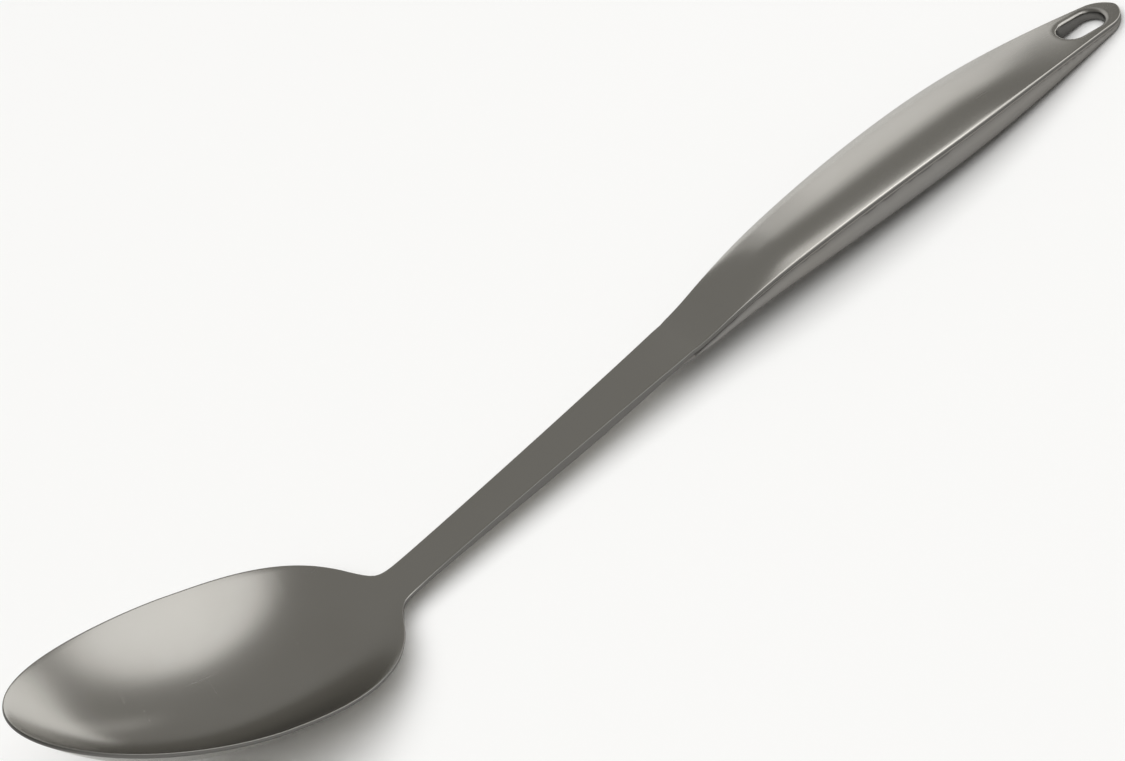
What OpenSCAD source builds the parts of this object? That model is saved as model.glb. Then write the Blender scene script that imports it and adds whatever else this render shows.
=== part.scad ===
// Serving spoon pressed from stainless steel sheet, with a hollow handle.
// Bowl, flat shank and crowned handle top are one sheet. A pressed channel closes the
// handle from below. It is welded to the sheet along both sides, at its nose and round the eye.
// Shapes are worked out along the sheet: s runs from the bowl's tip to the tail, y runs across,
// and h stands off the line of the sheet's top edge. The finished spoon is then laid down on the
// heel of its bowl and the back of its handle, with the origin on the table under its middle.

/* [Bowl] */
// Length of the bowl along its rim, from the tip to the neck
bowl_l = 101; // [88:1:114]
// Width of the bowl between the top edges of its rim
bowl_w = 64; // [52:0.5:72]
// Distance along the rim from the tip to the widest place
bowl_widest = 56.2; // [48:0.2:64]
// Depth of the bowl below its rim
bowl_d = 18; // [12:0.5:22]
// Distance along the rim from the tip to the deepest place
bowl_deepest = 52; // [42:1:60]
// Thickness of the sheet in the bowl
bowl_t = 1.2; // [0.8:0.1:1.6]
// Fall of the rim at the tip, in degrees
rim_tip_angle = 10.4; // [4:0.1:13]
// Rise of the rim where the neck begins, in degrees
rim_neck_angle = 5.6; // [1:0.1:9]
// Roundness of the tip: 2 is an ellipse, less is more pointed
tip_power = 1.68; // [1.6:0.02:2.2]
// Fullness of the shoulders: 2 is an ellipse, more is squarer
heel_power = 2.9; // [2.3:0.1:3.2]

/* [Shank] */
// Length of the shank from the neck to the handle
shank_l = 95.4; // [84:0.2:120]
// Width of the shank at the neck
shank_neck_w = 11.2; // [10:0.2:13]
// Width of the shank where the handle begins
shank_end_w = 14.8; // [13:0.2:17]
// Slope of the shank above the rim, in degrees
shank_angle = 27.2; // [20:0.1:32]
// Thickness of the sheet at the thickest place of the shank
shank_t = 2.6; // [1.8:0.1:3]
// Distance from the neck to the thickest place
shank_thick = 60; // [40:1:70]
// Length over which the sheet bends up from the rim into the shank
neck_bend_l = 13; // [8:1:20]
// Size of the fillets between the shoulders and the shank
neck_fillet = 1.8; // [0.8:0.1:2.4]
// Size of the fillet between the bowl's heel and the shank
heel_fillet = 1.2; // [0.6:0.1:2]

/* [Handle] */
// Length of the handle along the sheet
handle_l = 146.2; // [126:0.2:164]
// Width of the handle at its widest place
handle_w = 23.2; // [19:0.2:27]
// Distance from the start of the handle to its widest place
handle_widest = 81; // [64:1:88]
// Width of the tail
tail_w = 12.4; // [12.2:0.2:15]
// Distance from the end at which the handle has come down to that width
tail_reach = 8; // [6:0.5:10]
// Length of the rounded end
tail_round = 6.2; // [5:0.2:8]
// Thickness of the sheet in the handle
grip_t = 1.2; // [0.9:0.1:1.5]
// Length over which the sheet turns up at the start of the handle
lift_l = 10; // [6:0.5:16]
// Slope at the end of that turn, in degrees
lift_angle = 34.6; // [28:0.2:38]
// Length over which the sheet turns back again
ease_l = 26; // [18:1:36]
// Slope at the end of that turn, in degrees
ease_angle = 26; // [20:0.5:28]
// Slope of the sheet at the tail, in degrees
tail_angle = 11.2; // [6:0.2:16]
// Height of the crown above the edges of the handle
crown_h = 3.2; // [1.5:0.1:4.5]
// Length over which the crown rises out of the flat shank
crown_rise = 34; // [20:1:50]
// Length over which the crown flattens towards the eye
crown_fall = 36; // [28:1:50]
// Height of the crown that is left at the eye
tail_crown = 0.4; // [0.2:0.1:1]

/* [Handle back] */
// Thickness of the back channel's wall
back_t = 1; // [0.7:0.1:1.3]
// Swell of the back below a straight line from its nose to the tail
back_belly = 6.9; // [5:0.1:9]
// Depth of the tail below the sheet's top edge
tail_depth = 2.3; // [2.2:0.1:3.4]
// Length of the ground weld in front of the nose
nose_weld_l = 7; // [4:0.5:10]
// Squareness of the back's section: 2 is an ellipse
back_power = 6; // [4:0.5:8]

/* [Eye] */
// Length of the hanging slot
slot_l = 13.4; // [11:0.2:15]
// Width of the hanging slot
slot_w = 8; // [6:0.2:8]
// Metal between the slot and the end of the tail
slot_margin = 5.1; // [4.2:0.1:6.5]
// Radius of the slot's rolled lip
lip_r = 1.2; // [0.6:0.1:1.3]
// Wall of the collar that is drawn down through the handle
collar_t = 0.9; // [0.6:0.1:0.9]
// Chamfer on the foot of the collar
foot_break = 0.7; // [0.2:0.1:0.8]
// Width of the weld between the collar and the back channel
eye_weld_w = 0.4; // [0.3:0.05:0.5]

/* [Edges and seams] */
// Chamfer on the edges of the sheet and of the channel
edge_break = 0.4; // [0.2:0.05:0.45]
// Clearance between the sheet, the channel and the welds
seam_gap = 0.04; // [0.02:0.01:0.08]

/* [Hidden] */
$fn = 48;

handle_s = bowl_l + shank_l;
tail_s = handle_s + handle_l;
thick_s = bowl_l + shank_thick;
tail_taper_l = handle_l - handle_widest - tail_reach;
eye_s = tail_s - slot_margin - slot_l / 2;

// Share of the heel's curve after which the shoulder runs straight on into its fillet
shoulder_cut = 0.93;
// Power of the handle's crown across its width
crown_power = 2.2;
// Squareness of the rounding where the back turns up at the tail
end_power = 4;
// Most of the half width that a chamfer may take
edge_share = 0.4;
// Length on each side of the neck, as a share of its bend, in which stations stand closer
neck_span = 1.2;
// Solid nose in front of the hollow, and the wall behind it
nose_block = 3 * back_t;
tail_block = 1.2 * back_t;
// Thickness at which the nose weld feathers out
feather = 2 * seam_gap;

// Cells across the sheet and the channel
sheet_cells = 16;
back_cells = 16;
// Stations along each stretch
tip_steps = 14;
heel_steps = 5;
neck_steps = 14;
shank_steps = 6;
handle_steps = 26;
tail_steps = 7;
nose_steps = 4;
lip_steps = 8;
// Share of the first and last step at which the round ends are cut off flat
end_cut = 0.2;
// Steepest tilt that the spoon may lie at, in degrees, and the halvings that find it
tilt_limit = 45;
tilt_tries = 40;

// Runs of the edge line: slope at the start, slope at the end, length
runs = [
    [-rim_tip_angle, rim_neck_angle, bowl_l - neck_bend_l / 2],
    [rim_neck_angle, shank_angle, neck_bend_l],
    [shank_angle, shank_angle, shank_l - neck_bend_l / 2],
    [shank_angle, lift_angle, lift_l],
    [lift_angle, ease_angle, ease_l],
    [ease_angle, tail_angle, handle_l - lift_l - ease_l]
];

// Value from 0 to 1 with level ends
function smooth(x) =
    let (c = min(1, max(0, x)))
    c * c * (3 - 2 * c);

// Larger of two values, with the corner between them rounded by k
function soft_max(a, b, k) = (a + b + sqrt(pow(a - b, 2) + 4 * k * k)) / 2;

// Way covered after length s on a run that turns evenly from slope a to slope b over length l
function run_way(a, b, l, s) =
    a == b
    ? s * [cos(a), sin(a)]
    : let (r = l / (b - a) * 180 / PI, c = a + (b - a) * s / l)
      r * [sin(c) - sin(a), cos(a) - cos(c)];

// Edge line at length s from the tip: x, z and slope
function edge_line(s, i = 0, from = [0, 0]) =
    let (r = runs[i])
    s <= r[2] || i == len(runs) - 1
    ? concat(from + run_way(r[0], r[1], r[2], s), r[0] + (r[1] - r[0]) * s / r[2])
    : edge_line(s - r[2], i + 1, from + run_way(r[0], r[1], r[2], r[2]));

// Point at length s, y across and h off the edge line
function at(s, y, h) =
    let (e = edge_line(s))
    [e[0] - h * sin(e[2]), y, e[1] + h * cos(e[2])];

// Half width of the bowl in front of its widest place
function tip_half(s) = bowl_w / 2 * sqrt(1 - pow(1 - s / bowl_widest, tip_power));

// Half width of the bowl behind its widest place, u of the way to the neck
function heel_half(u) =
    let (c = min(u, shoulder_cut))
    let (root = sqrt(1 - pow(c, heel_power)))
    let (fall = heel_power * pow(c, heel_power - 1) / (2 * root))
    bowl_w / 2 * (root - (u - c) * fall);

// Half width of the shank, which flares a little towards the handle
function shank_half(s) =
    let (u = max(0, (s - bowl_l) / shank_l))
    (shank_neck_w + (shank_end_w - shank_neck_w) * u * u) / 2;

// Half width of the handle before its end is rounded
function grip_half(s) =
    let (a = s - handle_s, b = a - handle_widest)
    b < 0
    ? shank_end_w / 2 + (handle_w - shank_end_w) / 2 * sin(90 * a / handle_widest)
    : tail_w / 2 + (handle_w - tail_w) / 2 * cos(90 * b / tail_taper_l);

// How far the rounded end has run, from 0 where it starts to 1 at the tail
function end_share(s) = max(0, 1 - (tail_s - s) / tail_round);

// Half width of the whole sheet
function half_w(s) =
    let (u = (s - bowl_widest) / (bowl_l - bowl_widest))
    s < bowl_widest ? tip_half(s)
    : s < handle_s ? soft_max(heel_half(u), shank_half(s), neck_fillet * min(1, u))
    : grip_half(s) * sqrt(1 - pow(end_share(s), 2));

// Depth of the bowl on its middle line
function bowl_sink(s) =
    let (u = (s - bowl_deepest) / (bowl_l - bowl_deepest))
    s < bowl_deepest
    ? bowl_d * (1 - pow(1 - s / bowl_deepest, 2))
    : soft_max(bowl_d * (1 - u * u), 0, heel_fillet * min(1, u));

// Height of the crown on the handle's middle line
function crown(s) =
    smooth((s - handle_s) / crown_rise)
    * (crown_h + (tail_crown - crown_h) * smooth(1 - (tail_s - slot_margin - slot_l - s) / crown_fall));

// Height of the sheet's top at share v of its half width
function top_h(s, v) = crown(s) * (1 - pow(abs(v), crown_power)) - bowl_sink(s) * cos(90 * v);

// Thickness of the sheet, rolled thinner from the thickest place of the shank both ways
function sheet_t(s) =
    s < thick_s
    ? bowl_t + (shank_t - bowl_t) * smooth((s - bowl_l) / shank_thick)
    : shank_t + (grip_t - shank_t) * smooth((s - thick_s) / (handle_s + lift_l - thick_s));

// Height of the sheet's underside; measured upright, so the wall thins a little on steep flanks
function under_h(s, v) = top_h(s, v) - sheet_t(s);

// Chamfer at length s, which gives way where the sheet is narrow
function edge(s) = min(edge_break, edge_share * half_w(s));

// Values spread evenly from a to b in n steps
function spread(a, b, n) = [for (i = [0:n]) a + (b - a) * i / n];

// Ring of the sheet's section: pairs from both ends of the list face each other
function sheet_ring(s) =
    let (w = half_w(s), e = edge(s), ys = spread(e - w, w - e, sheet_cells))
    concat(
        [at(s, -w, -e)],
        [for (y = ys) at(s, y, top_h(s, y / w))],
        [at(s, w, -e), at(s, w, under_h(s, 1) + e)],
        [for (y = ys) at(s, -y, under_h(s, -y / w))],
        [at(s, -w, under_h(s, -1) + e)]
    );

// Depth of the back's outside below the edge line
function back_depth(s) =
    let (u = (s - handle_s) / (tail_s - handle_s))
    let (rim = wall_top(s))
    let (full = nose_depth + (tail_depth - nose_depth) * u + 4 * back_belly * u * (1 - u))
    rim + (full - rim) * pow(1 - pow(end_share(s), end_power), 1 / end_power);

// Depth at which the channel's outer wall begins, under the chamfered seam
function wall_top(s) = edge(s) + seam_gap - under_h(s, 1);

nose_depth = wall_top(handle_s) + back_t / 2;

// Share of the channel's half width or height where a circle would have share c
function u_share(c) = pow(abs(c), 2 / back_power);

// Row of points round the outside of the channel, from the right edge to the left
function back_row(s, w, top, bottom) =
    [for (a = spread(0, 180, back_cells))
        at(s, w * sign(cos(a)) * u_share(cos(a)), -top - (bottom - top) * u_share(sin(a)))];

// Ring of the channel as if it were solid
function back_ring(s) =
    let (w = half_w(s), e = edge(s))
    concat(
        [for (y = spread(e - w, w - e, back_cells)) at(s, y, under_h(s, y / w) - seam_gap)],
        back_row(s, w, wall_top(s), back_depth(s))
    );

// Ring of the hollow inside the channel, open above the channel's edges
function hollow_ring(s) =
    let (w = half_w(s) - back_t, rim = wall_top(s))
    concat(
        [for (y = spread(-w, w, back_cells)) at(s, y, crown(s) + back_t)],
        back_row(s, w, rim - edge(s), max(rim, back_depth(s) - back_t))
    );

// Ring of one seam weld, in the groove between the chamfers; side is 1 or -1
function seam_ring(s, side) =
    let (w = half_w(s), e = edge(s), v = (w - e) / w)
    let (outer_top = under_h(s, 1) + e, inner = under_h(s, v) - seam_gap / 2)
    let (ring = [
        at(s, side * (w - e), inner),
        at(s, side * w, outer_top),
        at(s, side * w, -wall_top(s)),
        at(s, side * (w - e), inner - seam_gap / 4)
    ])
    side > 0 ? ring : [ring[1], ring[0], ring[3], ring[2]];

// Faces that join rings of n points, with a strip closing each end
function loft_faces(count, n) =
    concat(
        [for (i = [0:count - 2], j = [0:n - 1])
            let (a = i * n + j, b = i * n + (j + 1) % n)
            each [[a, b, b + n], [a, b + n, a + n]]],
        [for (j = [0:n / 2 - 2])
            each [[j, n - 1 - j, n - 2 - j], [j, n - 2 - j, j + 1]]],
        [for (j = [0:n / 2 - 2])
            let (k = (count - 1) * n)
            each [[k + j, k + n - 2 - j, k + n - 1 - j], [k + j, k + j + 1, k + n - 2 - j]]]
    );

// Solid skinned over a row of rings
module loft(rings) {
    polyhedron(
        points = [for (r = rings) each r],
        faces = loft_faces(len(rings), len(rings[0])),
        convexity = 10
    );
}

// Stations along the sheet, closer together where it turns quickly
tip_stations = [for (i = [end_cut, each [1:tip_steps]]) bowl_widest * (1 - cos(90 * i / tip_steps))];
neck_start = bowl_l - neck_bend_l * neck_span;
neck_end = bowl_l + neck_bend_l * neck_span;
heel_stations = [for (i = [1:heel_steps]) bowl_widest + (neck_start - bowl_widest) * i / heel_steps];
neck_stations = [for (i = [1:neck_steps]) neck_start + (neck_end - neck_start) * i / neck_steps];
shank_stations = [for (i = [1:shank_steps]) neck_end + (handle_s - neck_end) * i / shank_steps];
round_s = tail_s - tail_round;
handle_stations = [for (i = [1:handle_steps]) handle_s + (round_s - handle_s) * i / handle_steps];
tail_stations = [
    for (i = [each [1:tail_steps - 1], tail_steps - end_cut])
        round_s + tail_round * sin(90 * i / tail_steps)
];
front_stations = concat(tip_stations, heel_stations, neck_stations, shank_stations);
back_stations = concat(handle_s, handle_stations, tail_stations);
all_stations = concat(front_stations, handle_stations, tail_stations);
hollow_stations = [for (s = back_stations) if (s > handle_s + nose_block && s < tail_s - tail_block) s];

// Tilt at which the heel of the bowl and the back of the handle touch the table together
heel_line = [for (s = front_stations) at(s, 0, under_h(s, 0))];
back_line = [for (s = back_stations) at(s, 0, -back_depth(s))];

function lowest(points, a) = min([for (p = points) p.z * cos(a) - p.x * sin(a)]);

function rest_tilt(low = 0, high = tilt_limit, tries = tilt_tries) =
    let (a = (low + high) / 2)
    tries == 0 ? a
    : lowest(heel_line, a) < lowest(back_line, a) ? rest_tilt(a, high, tries - 1)
    : rest_tilt(low, a, tries - 1);

tilt = rest_tilt();
reach = [for (s = all_stations, p = sheet_ring(s)) p.x * cos(tilt) + p.z * sin(tilt)];
middle = (min(reach) + max(reach)) / 2;

// Lays the spoon on the table
module at_rest() {
    translate([-middle, 0, -lowest(heel_line, tilt)])
        rotate([0, tilt, 0])
            children();
}

// Depth of the back under the eye, and the angle at which it closes on the sheet there
eye_depth = back_depth(eye_s);
eye_close_angle = atan((back_depth(eye_s + slot_l / 2) - back_depth(eye_s - slot_l / 2)) / slot_l);
lip_top = top_h(eye_s, slot_w / 2 / half_w(eye_s));
collar_r = slot_w / 2 + collar_t;
slot_run = slot_l - slot_w;

// Frame of the eye: x towards the tail, z along the slot's axis
module at_eye() {
    translate(at(eye_s, 0, 0))
        rotate([0, -edge_line(eye_s)[2], 0])
            children();
}

// Slot outline with ends of radius r
module slot_outline(r) {
    square([slot_run, 2 * r], center = true);
    for (side = [-1, 1])
        translate([side * slot_run / 2, 0])
            circle(r);
}

// Half profile of the punched slot with its rolled lip, beside the slot's axis
slot_profile = concat(
    [[0, -handle_w], [slot_w / 2, -handle_w]],
    [for (a = spread(180, 90, lip_steps))
        [slot_w / 2 + lip_r + lip_r * cos(a), lip_top - lip_r + lip_r * sin(a)]],
    [[slot_w / 2 + lip_r, handle_w], [0, handle_w]]
);

// Half profile of the chamfer on the foot of the collar, with the back's outside at height 0
foot_profile = [
    [0, -handle_w],
    [slot_w / 2 + foot_break, -handle_w],
    [slot_w / 2 + foot_break, 0],
    [slot_w / 2 - foot_break, 2 * foot_break],
    [0, 2 * foot_break]
];

// Half profile swept round the slot
module slot_sweep(profile) {
    for (side = [-1, 1])
        translate([side * slot_run / 2, 0, 0])
            rotate_extrude()
                polygon(profile);
    rotate([90, 0, 90])
        linear_extrude(slot_run, center = true)
            for (side = [0, 1])
                mirror([side, 0])
                    polygon(profile);
}

// Frame of the back's outside under the eye
module at_back() {
    translate([0, 0, -eye_depth])
        rotate([0, eye_close_angle, 0])
            children();
}

// Slab between the outside of the back under the eye and a height above it
module back_slab(height) {
    span = 2 * slot_l;
    at_back()
        translate([-span / 2, -span / 2, 0])
            cube([span, span, height]);
}

// Collar drawn from the sheet down to the back, before the slot is punched
module collar() {
    intersection() {
        translate([0, 0, -2 * eye_depth])
            linear_extrude(2 * eye_depth - grip_t / 2)
                slot_outline(collar_r);
        back_slab(2 * eye_depth);
    }
}

module spoon_blade() {
    color([0.72, 0.71, 0.68])
        at_rest()
            difference() {
                union() {
                    loft([for (s = all_stations) sheet_ring(s)]);
                    at_eye() collar();
                }
                at_eye() {
                    slot_sweep(slot_profile);
                    at_back() slot_sweep(foot_profile);
                }
            }
}

module handle_back() {
    color([0.6, 0.59, 0.56])
        at_rest()
            difference() {
                loft([for (s = back_stations) back_ring(s)]);
                loft([for (s = hollow_stations) hollow_ring(s)]);
                at_eye()
                    translate([0, 0, -2 * eye_depth])
                        linear_extrude(2 * eye_depth)
                            slot_outline(collar_r + eye_weld_w);
            }
}

// Weld along one side of the handle, ground flush with the wall
module seam_weld(side) {
    color([0.66, 0.65, 0.62])
        at_rest()
            loft([for (s = back_stations) seam_ring(s, side)]);
}

module seam_weld_left() {
    seam_weld(1);
}

module seam_weld_right() {
    seam_weld(-1);
}

// Weld that fairs the nose of the channel into the underside of the shank
module nose_weld() {
    color([0.66, 0.65, 0.62])
        at_rest()
            loft([
                for (f = spread(0, 1, nose_steps))
                    let (s = handle_s - seam_gap - nose_weld_l * (1 - f), w = half_w(s), e = edge(s))
                    let (base = seam_gap - under_h(s, 1))
                    let (top = base + feather + (wall_top(s) - base - feather) * f)
                    let (bottom = top + feather + (nose_depth - wall_top(handle_s)) * f)
                    concat(
                        [for (y = spread(e - w, w - e, back_cells)) at(s, y, -base)],
                        back_row(s, w - e * (1 - f), top, bottom)
                    )
            ]);
}

// Weld ring between the collar and the back channel
module eye_weld() {
    color([0.66, 0.65, 0.62])
        at_rest()
            at_eye()
                intersection() {
                    translate([0, 0, -2 * eye_depth])
                        linear_extrude(2 * eye_depth)
                            difference() {
                                slot_outline(collar_r + eye_weld_w - seam_gap);
                                slot_outline(collar_r + seam_gap);
                            }
                    back_slab(back_t);
                }
}

spoon_blade();
handle_back();
seam_weld_left();
seam_weld_right();
nose_weld();
eye_weld();
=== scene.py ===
import math

import bmesh
import bpy
from mathutils import Matrix, Vector


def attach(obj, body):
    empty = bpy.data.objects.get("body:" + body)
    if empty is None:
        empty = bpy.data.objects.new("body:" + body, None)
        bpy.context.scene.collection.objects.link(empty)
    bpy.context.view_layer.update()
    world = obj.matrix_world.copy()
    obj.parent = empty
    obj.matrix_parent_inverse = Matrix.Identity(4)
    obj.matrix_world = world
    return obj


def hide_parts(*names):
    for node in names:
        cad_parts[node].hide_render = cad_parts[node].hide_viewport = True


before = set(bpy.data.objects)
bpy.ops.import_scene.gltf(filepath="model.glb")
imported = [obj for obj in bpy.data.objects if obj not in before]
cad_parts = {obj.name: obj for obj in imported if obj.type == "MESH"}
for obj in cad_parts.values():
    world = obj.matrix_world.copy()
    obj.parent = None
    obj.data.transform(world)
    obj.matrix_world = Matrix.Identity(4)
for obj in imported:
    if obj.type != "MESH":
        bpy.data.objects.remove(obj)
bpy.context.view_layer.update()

bl_info = {
    "name": "Serving spoon",
    "version": (1, 0, 0),
    "blender": (4, 5, 0),
    "location": "3D View > Sidebar > Spoon",
    "description": "Serving spoon pressed from steel sheet, with a hollow welded handle",
    "category": "Object",
}

MM = 0.001


# Settings

def number(name, description, default, **kind):
    """Property for a number."""
    return bpy.props.FloatProperty(name=name, description=description, default=default, **kind)


def length(name, description, millimetres):
    """Property for a length, with its default in millimetres."""
    return number(name, description, millimetres * MM, min=0.0, precision=5, unit="LENGTH")


def angle(name, description, degrees):
    """Property for an angle, with its default in degrees."""
    return number(name, description, math.radians(degrees), subtype="ANGLE")


def power(name, description, default):
    """Property for the exponent of a curve."""
    return number(name, description, default, min=1.0, max=12.0)


def share(name, description, default):
    """Property for a value from 0 to 1."""
    return number(name, description, default, min=0.0, max=1.0, subtype="FACTOR")


def level(name, description, default):
    """Property for the strength of a light."""
    return number(name, description, default, min=0.0, precision=3)


def colour(name, description, default):
    """Property for a colour."""
    return bpy.props.FloatVectorProperty(
        name=name, description=description, default=default, size=3, min=0.0, max=1.0, subtype="COLOR"
    )


class SpoonSizes(bpy.types.PropertyGroup):
    """Sizes of the pressings and welds"""

    bowl_length: length("Bowl length", "Along the rim, from the tip to the neck", 101)
    bowl_width: length("Bowl width", "Between the edges of the rim", 64)
    bowl_widest: length("Bowl widest", "Along the rim, from the tip to the widest place", 56.2)
    bowl_depth: length("Bowl depth", "Below the rim", 18)
    bowl_deepest: length("Bowl deepest", "Along the rim, from the tip to the deepest place", 52)
    bowl_gauge: length("Bowl gauge", "Thickness of the sheet in the bowl", 1.2)
    rim_tip_fall: angle("Rim fall", "Fall of the rim at the tip", 10.4)
    rim_neck_rise: angle("Rim rise", "Rise of the rim at the neck", 5.6)
    tip_roundness: power("Tip roundness", "2 is an ellipse, less is more pointed", 1.68)
    shoulder_fullness: power("Shoulder fullness", "2 is an ellipse, more is squarer", 2.9)
    shank_length: length("Shank length", "From the neck to the handle", 95.4)
    neck_width: length("Neck width", "Width of the shank at the neck", 11.2)
    shank_end_width: length("Shank end width", "Width of the shank at the handle", 14.8)
    shank_slope: angle("Shank slope", "Slope of the shank above the rim", 27.2)
    shank_gauge: length("Shank gauge", "Thickness of the sheet in the shank", 2.6)
    shank_thickest: length("Shank thickest", "From the neck to the thickest place", 60)
    neck_bend: length("Neck bend", "Length of the bend from the rim into the shank", 13)
    neck_fillet: length("Neck fillet", "Fillets between the shoulders and the shank", 1.8)
    heel_fillet: length("Heel fillet", "Fillet between the bowl's heel and the shank", 1.2)
    handle_length: length("Handle length", "Along the sheet", 146.2)
    handle_width: length("Handle width", "At the widest place", 23.2)
    handle_widest: length("Handle widest", "From the start of the handle to its widest place", 81)
    tail_width: length("Tail width", "Width of the tail", 12.4)
    tail_reach: length("Tail reach", "From the end to where the handle has that width", 8)
    tail_round: length("Tail round", "Length of the rounded end", 6.2)
    grip_gauge: length("Grip gauge", "Thickness of the sheet in the handle", 1.2)
    lift_length: length("Lift length", "Over which the sheet turns up at the handle", 10)
    lift_slope: angle("Lift slope", "Slope at the end of that turn", 34.6)
    ease_length: length("Ease length", "Over which the sheet turns back", 26)
    ease_slope: angle("Ease slope", "Slope at the end of that turn", 26)
    tail_slope: angle("Tail slope", "Slope of the sheet at the tail", 11.2)
    crown_height: length("Crown height", "Above the edges of the handle", 3.2)
    crown_rise: length("Crown rise", "Over which the crown rises out of the shank", 34)
    crown_fall: length("Crown fall", "Over which the crown flattens towards the eye", 36)
    tail_crown: length("Tail crown", "Crown that is left at the eye", 0.4)
    back_gauge: length("Back gauge", "Thickness of the back channel", 1)
    back_belly: length("Back belly", "Swell of the back below a straight line", 6.9)
    tail_depth: length("Tail depth", "Depth of the tail below the sheet's edge", 2.3)
    nose_weld_length: length("Nose weld length", "In front of the channel's nose", 7)
    back_squareness: power("Back squareness", "Section of the channel: 2 is an ellipse", 6)
    slot_length: length("Slot length", "Length of the hanging slot", 13.4)
    slot_width: length("Slot width", "Width of the hanging slot", 8)
    slot_margin: length("Slot margin", "Metal between the slot and the end", 5.1)
    lip_radius: length("Lip radius", "Radius of the slot's rolled lip", 1.2)
    collar_wall: length("Collar wall", "Wall of the collar inside the eye", 0.9)
    foot_chamfer: length("Foot chamfer", "On the foot of the collar", 0.7)
    eye_weld_width: length("Eye weld width", "Between the collar and the channel", 0.4)
    edge_radius: length("Edge radius", "Rounding of the sheet's edges", 0.4)
    seam_gap: length("Seam gap", "Clearance beside the welds", 0.04)
    seam_sink: length("Seam sink", "How deep the weld lies in its groove at the nose", 0.26)


class SpoonFinish(bpy.types.PropertyGroup):
    """Colours and polish of the steel"""

    sheet_colour: colour("Sheet", "Polished steel of the bowl, shank and handle top", (0.62, 0.605, 0.57))
    # The back's colour is set far darker than the sheet's: painted shade for the handle's dark side wall
    back_colour: colour("Back", "Satin steel of the handle's back", (0.25, 0.243, 0.232))
    weld_colour: colour("Weld", "Ground weld", (0.26, 0.25, 0.235))
    tarnish: colour("Tarnish", "Warm haze in hollows and along seams", (0.33, 0.29, 0.23))
    sheet_polish: share("Sheet roughness", "Roughness of the polished sheet", 0.24)
    back_polish: share("Back roughness", "Roughness of the satin back", 0.38)
    weld_polish: share("Weld roughness", "Roughness of the ground welds", 0.55)


class SpoonStage(bpy.types.PropertyGroup):
    """Floor, lamps and camera"""

    floor_colour: colour("Floor", "Pale floor under the spoon", (0.94, 0.94, 0.935))
    room: colour("Room", "Light from all round", (0.222, 0.218, 0.207))
    fill_level: level("Fill level", "Brightness of the wide overhead box that lights the floor", 1.65)
    key_level: level("Key level", "Brightness of the soft box above the near side", 0.9)
    side_level: level("Side level", "Brightness of the large soft box on the right", 0.78)
    far_level: level("Far level", "Brightness of the low cards behind the handle", 0.51)
    camera_place: bpy.props.FloatVectorProperty(
        name="Camera place", description="Where the camera stands", size=3, unit="LENGTH",
        default=(-0.195329, -0.693344, 0.670986)
    )
    camera_turn: angle("Camera turn", "Direction of view round the upright axis", 75.0453)
    camera_pitch: angle("Camera pitch", "Direction of view above the level", -42.0854)
    camera_roll: angle("Camera roll", "Turn of the picture about the line of view", -29.1413)
    camera_lens: number("Camera lens", "Focal length for a frame 36 wide", 127.5718, unit="CAMERA")


# Form of the pressings

def smooth(x):
    """Value from 0 to 1 with level ends."""
    c = min(1.0, max(0.0, x))
    return c * c * (3 - 2 * c)


def soft_max(a, b, k):
    """Larger of two values, with the corner between them rounded by k."""
    return (a + b + math.sqrt((a - b) ** 2 + 4 * k * k)) / 2


def halving(inside, low, high):
    """Place between low and high where inside stops being true."""
    for _ in range(44):
        middle = (low + high) / 2
        if inside(middle):
            low = middle
        else:
            high = middle
    return (low + high) / 2


def rounded(a, corner, b, t):
    """Point on the rounded corner between a and b."""
    return tuple((1 - t) ** 2 * p + 2 * t * (1 - t) * c + t * t * q for p, c, q in zip(a, corner, b))


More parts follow.
